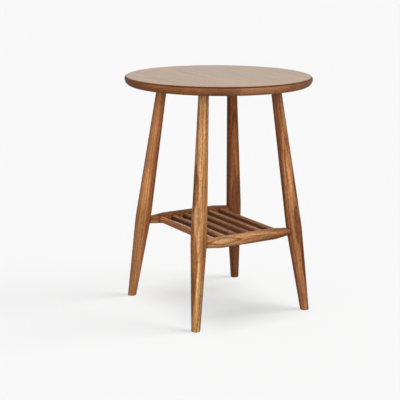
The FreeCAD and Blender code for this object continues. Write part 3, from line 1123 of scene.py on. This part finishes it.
@dataclass(frozen=True)
class RoundTop:
    """The round top, glued up from boards that lie side by side in x.

    Attributes:
        height: Height of its upper face.
        radius: Radius of the rim.
        thickness: Thickness.
        upper_rounding: Rounding of the rim above.
        rim_land: Height of the straight band of the rim.
        board_count: Number of boards.
        highlight_side: Degrees from x towards y to the middle of the painted highlight on the rim,
            where the lacquer is also glossier.
        highlight_width: Degrees round the rim in which the painted highlight and gloss fade to 37%.
        painted_highlight: How much more red, green and blue the painted highlight on the rim shows.
        highlight_band: Where the painted highlight comes in and goes out, in shares of the upper
            rounding from its foot.
        dark_line_band: The same for the painted dark reflection above it, which ends where the
            flat begins.
        billets: The wood of the boards, from -x to +x.
        rim_tints: Shares of red, green and blue that the shaped rim and the underside of each
        board keep, in the same order: a deeper stain, partly painted shade, darkest near -x.
    """

    height: float = 0.570
    radius: float = 0.225
    thickness: float = 0.022
    upper_rounding: float = 0.0065
    rim_land: float = 0.0005
    board_count: int = 6
    highlight_side: float = -107.0
    highlight_width: float = 50.0
    painted_highlight: Triple = (0.22, 0.34, 0.70)
    highlight_band: tuple[float, ...] = (-0.10, 0.05, 0.36, 0.46)
    dark_line_band: tuple[float, ...] = (0.32, 0.50, 0.84, 0.89)
    billets: tuple[Billet, ...] = (
        Billet((0.020, -0.086), (0.010, 0.012), 14.0, (0.82, 0.90, 0.68), 0.12),
        Billet((-0.030, 0.090), (-0.012, 0.006), 15.2, (0.80, 0.88, 0.68), 0.12),
        Billet((0.006, -0.084), (0.008, -0.014), 16.4, (0.83, 0.91, 0.70), 0.12),
        Billet((0.044, 0.088), (0.006, 0.010), 17.6, (0.80, 0.89, 0.68), 0.12),
        Billet((-0.016, -0.092), (-0.010, -0.008), 18.8, (0.82, 0.90, 0.68), 0.12),
        Billet((0.034, 0.086), (0.014, 0.006), 20.0, (0.80, 0.88, 0.66), 0.12),
    )
    rim_tints: tuple[Triple, ...] = (
        (0.51, 0.37, 0.42),
        (0.34, 0.25, 0.35),
        (0.55, 0.49, 0.70),
        (0.67, 0.55, 0.70),
        (0.64, 0.49, 0.66),
        (0.76, 0.48, 0.80),
    )

    def middle(self) -> float:
        """Height of the middle of a board."""
        return self.height - self.thickness / 2

    def lower_rounding(self) -> float:
        """Rounding of the rim below, which takes what the rest leaves."""
        return self.thickness - self.upper_rounding - self.rim_land

    def across(self, low: float, high: float, rows: int = 56) -> Array:
        """Places of a board's rows in x, closer together beside the glue lines.

        Past a glue line the places follow equal steps of the rim's own angle, so that they
        crowd towards the rim's end.

        Args:
            low: Lower side of the board.
            high: Higher side of the board.
            rows: Number of even steps.

        Returns:
            The places, in order.
        """
        turn = math.radians(1.0)
        first = max(math.asin(max(low / self.radius, -1)), turn - math.pi / 2)
        last = min(math.asin(min(high / self.radius, 1)), math.pi / 2 - turn)
        places = self.radius * np.sin(np.linspace(first, last, rows))
        beside = [low + step for step in (0.0004, 0.0011)] + [high - step for step in (0.0004, 0.0011)]
        return np.unique(np.concatenate([places, np.clip(beside, places[0], places[-1])]))

    def section(self, across: Array, over: int = 84, under: int = 150, arc: int = 14) -> Array:
        """Outline of the top where it is cut along the grain, for each place across.

        Round the rim's arcs the distance from the middle is the flat's radius plus the
        rounding times the sine of the arc's angle, and y follows from it and x by
        Pythagoras. Where x lies past the flat, the arc starts at x and the flat is gone.

        Args:
            across: Places in x.
            over: Steps over half of the upper face.
            under: Steps over half of the underside.
            arc: Steps round each rounding.

        Returns:
            For each place, the outline's y and height from the upper face's middle out over
            the rim and in to the middle of the underside.
        """
        side = np.abs(across)[:, None]
        parts = []
        for rounding, sign, steps in ((self.upper_rounding, 1, over), (self.lower_rounding(), -1, under)):
            flat = self.radius - rounding
            first = np.arcsin(np.clip((side - flat) / rounding, 0, 1))
            angle = first + np.linspace(0, 1, arc + 1) * (math.pi / 2 - first)
            out = np.sqrt(np.maximum((flat + rounding * np.sin(angle)) ** 2 - side**2, 0))
            up = self.middle() + sign * (self.thickness / 2 - rounding * (1 - np.cos(angle)))
            inner = np.linspace(0, 1, steps + 1)[:-1] * out[:, :1]
            level = np.broadcast_to(up[:, :1], inner.shape)
            parts.append(np.stack([np.hstack([inner, out]), np.hstack([level, up])], axis=-1))
        return np.concatenate([parts[0], parts[1][:, ::-1]], axis=1)

    def surface(self, low: float, high: float) -> ClosedSurface:
        """One board's surface: its outline along the grain, carried across the board.

        Own x is the table's x from the board's middle, own y is up from the board's middle,
        and own z runs against the table's y.

        Args:
            low: Lower side of the board.
            high: Higher side of the board.

        Returns:
            The surface.
        """
        across = self.across(low, high)
        half = self.section(across)
        back = half[:, ::-1] * np.array([-1, 1])
        loop = np.concatenate([half, back[:, 1:-1]], axis=1)
        x = np.broadcast_to(across[:, None], loop.shape[:2]) - (low + high) / 2
        rings = np.stack([x, loop[..., 1] - self.middle(), loop[..., 0]], axis=-1)
        return ClosedSurface(rings, x[0, 0] * X, x[-1, 0] * X)

    def rim_tint(self, x: Array) -> Array:
        """The rim's deeper stain and painted shade at places in x, which runs evenly from board to board."""
        middles = ((np.arange(self.board_count) + 0.5) / self.board_count * 2 - 1) * self.radius
        return np.stack([np.interp(x, middles, share) for share in zip(*self.rim_tints)], axis=-1)

    def board(self, index: int, finish: StainedWood, legs: TurnedLegs) -> Object:
        """Builds one board: glossy rim with painted highlight and dark line, painted shade at the legs.

        Args:
            index: Its number from 0, from -x to +x.
            finish: Its finish.
            legs: The legs that enter the underside.

        Returns:
            The board.
        """
        width = 2 * self.radius / self.board_count
        low = index * width - self.radius
        surface = self.surface(low, low + width)
        stance = Stance((low + width / 2, 0.0, self.middle()), X, -Y)
        points = stance.place(surface.points())
        stands = [legs.stance(*sides) for sides in legs.sides.values()]
        # Painted shade round each leg's neck on the underside.
        near = [stand.crowding(points, legs.neck_radius, reach=0.0028) for stand in stands]
        joint_shade = np.max(near, axis=0) * (points[:, 2] < self.middle())
        rise = 1 + (points[:, 2] - self.height) / self.upper_rounding
        shaped = rise < self.dark_line_band[3]
        # Round one side of the rim the lacquer is glossier and a painted highlight lies on the upper rounding.
        rubbed = np.exp(-((turn_from(points, self.highlight_side) / self.highlight_width) ** 2))
        gloss_and_highlight = rubbed * np.interp(rise, self.highlight_band, [0.0, 1.0, 1.0, 0.0])
        polish = 0.4 * gloss_and_highlight + np.interp(rise, self.dark_line_band[2:], [0.0, 1.0])
        # Painted dark reflection along the upper rounding, stronger beside the painted highlight.
        line = (0.35 + 0.45 * rubbed) * np.interp(rise, self.dark_line_band, [0.0, 1.0, 1.0, 0.0])
        # The rim and the underside take a deeper stain that is partly painted shade.
        tint = np.where(shaped[:, None], self.rim_tint(points[:, 0]), 1.0)
        # Painted highlight: the upper rounding is made paler round that side of the rim.
        tint = tint * (1 + np.outer(gloss_and_highlight, self.painted_highlight))
        node, billet = f"top_board_{index + 1}", self.billets[index]
        piece = Piece(node, surface, stance, billet, joint_shade, line, polish, tint, 1 + 6 * shaped)
        return piece.add(finish)

    def build(self, finish: StainedWood, legs: TurnedLegs) -> list[Object]:
        """Builds the boards."""
        return [self.board(index, finish, legs) for index in range(self.board_count)]


# The studio


class Lit(Enum):
    """What a lamp lights."""

    TABLE = "table"
    FLOOR = "floor"


@dataclass(frozen=True)
class Lamp:
    """A round soft lamp, which gloss doesn't show.

    Attributes:
        name: Name of the lamp.
        lit: What it lights.
        shading: Slots of the pieces that cast a shadow in its light.
        turn: Degrees from the camera's side of the table towards its right.
        rise: Degrees above the horizon, from the middle of the table.
        spread: Degrees across the lamp, as seen from the table.
        brightness: Brightness that it gives to a white surface square to it.
        distance: Distance from the middle of the table. At 0 the lamp is so far away that
            it lights everything alike.
        aim: The middle of the table.
        sun_place: Distance at which a lamp from afar is put.
    """

    name: str
    lit: Lit
    shading: tuple[Slot, ...]
    turn: float
    rise: float
    spread: float
    brightness: float
    distance: float = 0.0

    aim = 0.3 * Z
    sun_place = 2.0

    def direction(self, ahead: Array) -> Array:
        """Direction from the table to the lamp.

        Args:
            ahead: The way that the camera looks.

        Returns:
            The direction.
        """
        level = np.array([-ahead[0], -ahead[1]]) / math.hypot(ahead[0], ahead[1])
        turn, rise = math.radians(self.turn), math.radians(self.rise)
        out = math.cos(turn) * level + math.sin(turn) * np.array([-level[1], level[0]])
        return np.array([*(math.cos(rise) * out), math.sin(rise)])

    def source(self) -> bpy.types.Light:
        """Makes the light itself: a sun from afar, or a round panel near the table.

        A panel's power is its brightness times the square of pi times its distance.

        Returns:
            The light.
        """
        if not self.distance:
            sun = bpy.data.lights.new(self.name, "SUN")
            sun.energy = self.brightness * math.pi
            sun.angle = math.radians(self.spread)
            return sun
        panel = bpy.data.lights.new(self.name, "AREA")
        panel.shape = "DISK"
        panel.size = 2 * self.distance * math.tan(math.radians(self.spread / 2))
        panel.energy = self.brightness * (math.pi * self.distance) ** 2
        return panel

    def hang(self, ahead: Array, lit: Mapping[Lit, Collection], shading: Mapping[Slot, Collection]) -> None:
        """Adds the lamp to the scene.

        Args:
            ahead: The way that the camera looks.
            lit: Objects by what a lamp can light.
            shading: Pieces by slot.
        """
        lamp = add_object(self.name, self.source())
        lamp.visible_glossy = False
        z = self.direction(ahead)
        x = np.cross(z, [0.0, 0.1, 1.0])
        x /= np.linalg.norm(x)
        stand(lamp, (self.distance or self.sun_place) * z + self.aim, [x, np.cross(z, x), z])
        shaders = [piece for slot in self.shading for piece in shading[slot]]
        lamp.light_linking.receiver_collection = group(f"{self.name}_lights", lit[self.lit])
        lamp.light_linking.blocker_collection = group(f"{self.name}_shading", shaders)


def group(name: str, members: Collection[Object]) -> bpy.types.Collection:
    """Makes a collection of objects that stays out of the scene's own tree."""
    collection = bpy.data.collections.new(name)
    for member in members:
        collection.objects.link(member)
    return collection


@dataclass(frozen=True)
class Studio:
    """A pale floor without end, soft light all round, and the camera.

    Attributes:
        backdrop: Screen colour of what lies beyond the floor.
        floor_reach: Distance from the table to the floor's sides.
        floor_level: Height of the floor, a hair below the feet.
        floor_share: Share of the light on the floor that it scatters.
        floor_bounce: Part of that share that lights the table.
        floor_glow: Brightness that the floor adds of its own, where it is seen.
        fill: Brightness of the soft light from all round.
        ceiling: Brightness of the ceiling, as gloss shows it.
        wall: Brightness of the pale backdrop's wall, as gloss shows it.
        room_side: Brightness of the room behind the camera, as gloss shows it.
        camera_place: Place of the camera.
        camera_axes: Its right, its up and the way that it looks, one in each row.
        focal_length: Focal length in millimetres.
        sensor_width: Width of the sensor in millimetres.
        sight: Distance to which the camera sees.
        lamps: The lamps.
    """

    backdrop: Screen = (246, 246, 246)
    floor_reach: float = 80.0
    floor_level: float = -0.0001
    floor_share: float = 0.40
    floor_bounce: float = 0.35
    floor_glow: float = 0.304
    fill: float = 0.16
    ceiling: float = 0.32
    wall: float = 0.736
    room_side: float = 0.32
    camera_place: Triple = (-1.404445, -2.223330, 0.878078)
    camera_axes: tuple[Triple, Triple, Triple] = (
        (0.85463317, -0.51921154, 0.00463922),
        (0.11452807, 0.19721528, 0.97364750),
        (0.50644394, 0.83158013, -0.22801101),
    )
    focal_length: float = 98.833
    sensor_width: float = 36.0
    sight: float = 500.0
    lamps: tuple[Lamp, ...] = (
        Lamp("front_softbox", Lit.TABLE, tuple(Slot), 2.0, 18.0, 30.0, 0.73, 1.4),
        Lamp("right_softbox", Lit.TABLE, tuple(Slot), 40.0, 48.0, 34.0, 0.14),
        Lamp("overhead_softbox", Lit.TABLE, tuple(Slot), 0.0, 80.0, 40.0, 0.08),
        Lamp("left_back_softbox", Lit.TABLE, tuple(Slot), -150.0, 30.0, 40.0, 0.30),
        Lamp("right_back_softbox", Lit.TABLE, tuple(Slot), 150.0, 30.0, 40.0, 0.30),
        Lamp("floor_lamp_above", Lit.FLOOR, (Slot.SHELF,), 0.0, 90.0, 40.0, 0.95),
        Lamp("floor_lamp_low", Lit.FLOOR, (Slot.LEGS,), 90.0, 32.0, 44.0, 0.92),
    )

    def seen(self, wiring: Wiring) -> Socket:
        """1 for rays that show the backdrop itself, in view, in gloss or through glass.

        Args:
            wiring: Adds nodes to the material or the world.

        Returns:
            The number.
        """
        path = wiring.node("LightPath", {}).outputs
        shown = wiring.math("MAXIMUM", path["Is Camera Ray"], path["Is Glossy Ray"])
        return wiring.math("MAXIMUM", shown, path["Is Transmission Ray"])

    def floor(self) -> Object:
        """Lays the floor, which scatters a share of the light and glows evenly where seen.

        Returns:
            The floor.
        """
        reach = self.floor_reach
        corners = [(x * reach, y * reach, self.floor_level) for x, y in ((-1, -1), (1, -1), (1, 1), (-1, 1))]
        mesh = bpy.data.meshes.new("studio_floor")
        mesh.from_pydata(corners, [], [(0, 1, 2, 3)])
        material = bpy.data.materials.new("studio_floor")
        wiring = emptied(material)
        bounced = wiring.node("LightPath", {}).outputs["Is Diffuse Ray"]
        share = wiring.band(bounced, 0.0, 1.0, self.floor_share, self.floor_share * self.floor_bounce)
        matt = wiring.node("BsdfDiffuse", {"Color": share})
        glow = wiring.node("Emission", {"Strength": wiring.times(self.seen(wiring), self.floor_glow)})
        both = wiring.node("AddShader", {0: matt.outputs["BSDF"], 1: glow.outputs["Emission"]})
        wiring.node("OutputMaterial", {"Surface": both.outputs["Shader"]})
        mesh.materials.append(material)
        floor = add_object("studio_floor", mesh)
        return floor

    def room(self) -> None:
        """Fills the room with soft light.

        Gloss shows the pale wall of the backdrop on one side, a dimmer room on the other,
        and a dim ceiling above both.
        """
        world = bpy.data.worlds.new("studio")
        bpy.context.scene.world = world
        wiring = emptied(world)
        towards = wiring.node("TexCoord", {}).outputs["Generated"]
        height = wiring.node("SeparateXYZ", {0: towards}).outputs["Z"]
        beyond = wiring.vector("DOT_PRODUCT", {0: towards, 1: self.camera_axes[2]}, "Value")
        side = wiring.band(beyond, -0.1, 0.6, self.room_side, self.wall)
        mirrored = wiring.band(height, 0.25, 0.60, side, self.ceiling)
        extra = wiring.math("SUBTRACT", mirrored, self.fill)
        light = wiring.times(extra, self.seen(wiring), self.fill)
        camera_ray = wiring.node("LightPath", {}).outputs["Is Camera Ray"]
        away = wiring.math("SUBTRACT", paint(*self.backdrop)[0], light)
        strength = wiring.times(away, camera_ray, light)
        background = wiring.node("Background", {"Color": (1.0, 1.0, 1.0, 1.0), "Strength": strength})
        wiring.node("OutputWorld", {"Surface": background.outputs["Background"]})

    def camera(self) -> None:
        """Stands the camera where the photograph was taken."""
        right, up, ahead = np.array(self.camera_axes)
        data = bpy.data.cameras.new("camera")
        data.sensor_width, data.lens, data.clip_end = self.sensor_width, self.focal_length, self.sight
        camera = add_object("camera", data)
        stand(camera, self.camera_place, [right, up, -ahead])
        bpy.context.scene.camera = camera

    def build(self, pieces: Mapping[Slot, Collection]) -> None:
        """Sets up the floor, the lights and the camera.

        Args:
            pieces: The table's pieces by slot.
        """
        table = [piece for slot in Slot for piece in pieces[slot]]
        lit = {Lit.TABLE: table, Lit.FLOOR: [self.floor()]}
        self.room()
        for lamp in self.lamps:
            lamp.hang(np.array(self.camera_axes[2]), lit, pieces)
        self.camera()
        bpy.context.scene.view_settings.view_transform = "Standard"


def main() -> None:
    """Builds the table and the studio."""
    logging.basicConfig(level=logging.INFO, format="%(name)s: %(message)s")
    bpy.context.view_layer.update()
    effects = (LogRings(), WoodFibre(), StainedColour(), SatinSurface())
    top_colours = {"pale": (216, 160, 108), "middle": (200, 138, 90), "dark": (150, 94, 58)}
    top_wood = StainedWood(Slot.TOP, effects, True, **top_colours, reflection=0.05)
    leg_colours = {"pale": (236, 184, 118), "middle": (174, 108, 66)}
    leg_wood = StainedWood(Slot.LEGS, effects, **leg_colours, ring_width=0.0072, reflection=0.06)
    shelf_wood = StainedWood(Slot.SHELF, effects, True, reflection=0.04)
    legs, shelf, top = TurnedLegs(), RodShelf(), RoundTop()
    pieces = {
        Slot.TOP: top.build(top_wood, legs),
        Slot.LEGS: legs.build(leg_wood, shelf),
        Slot.SHELF: shelf.build(shelf_wood, legs),
    }
    Studio().build(pieces)
    bpy.context.view_layer.update()


if __name__ == "__main__":
    main()
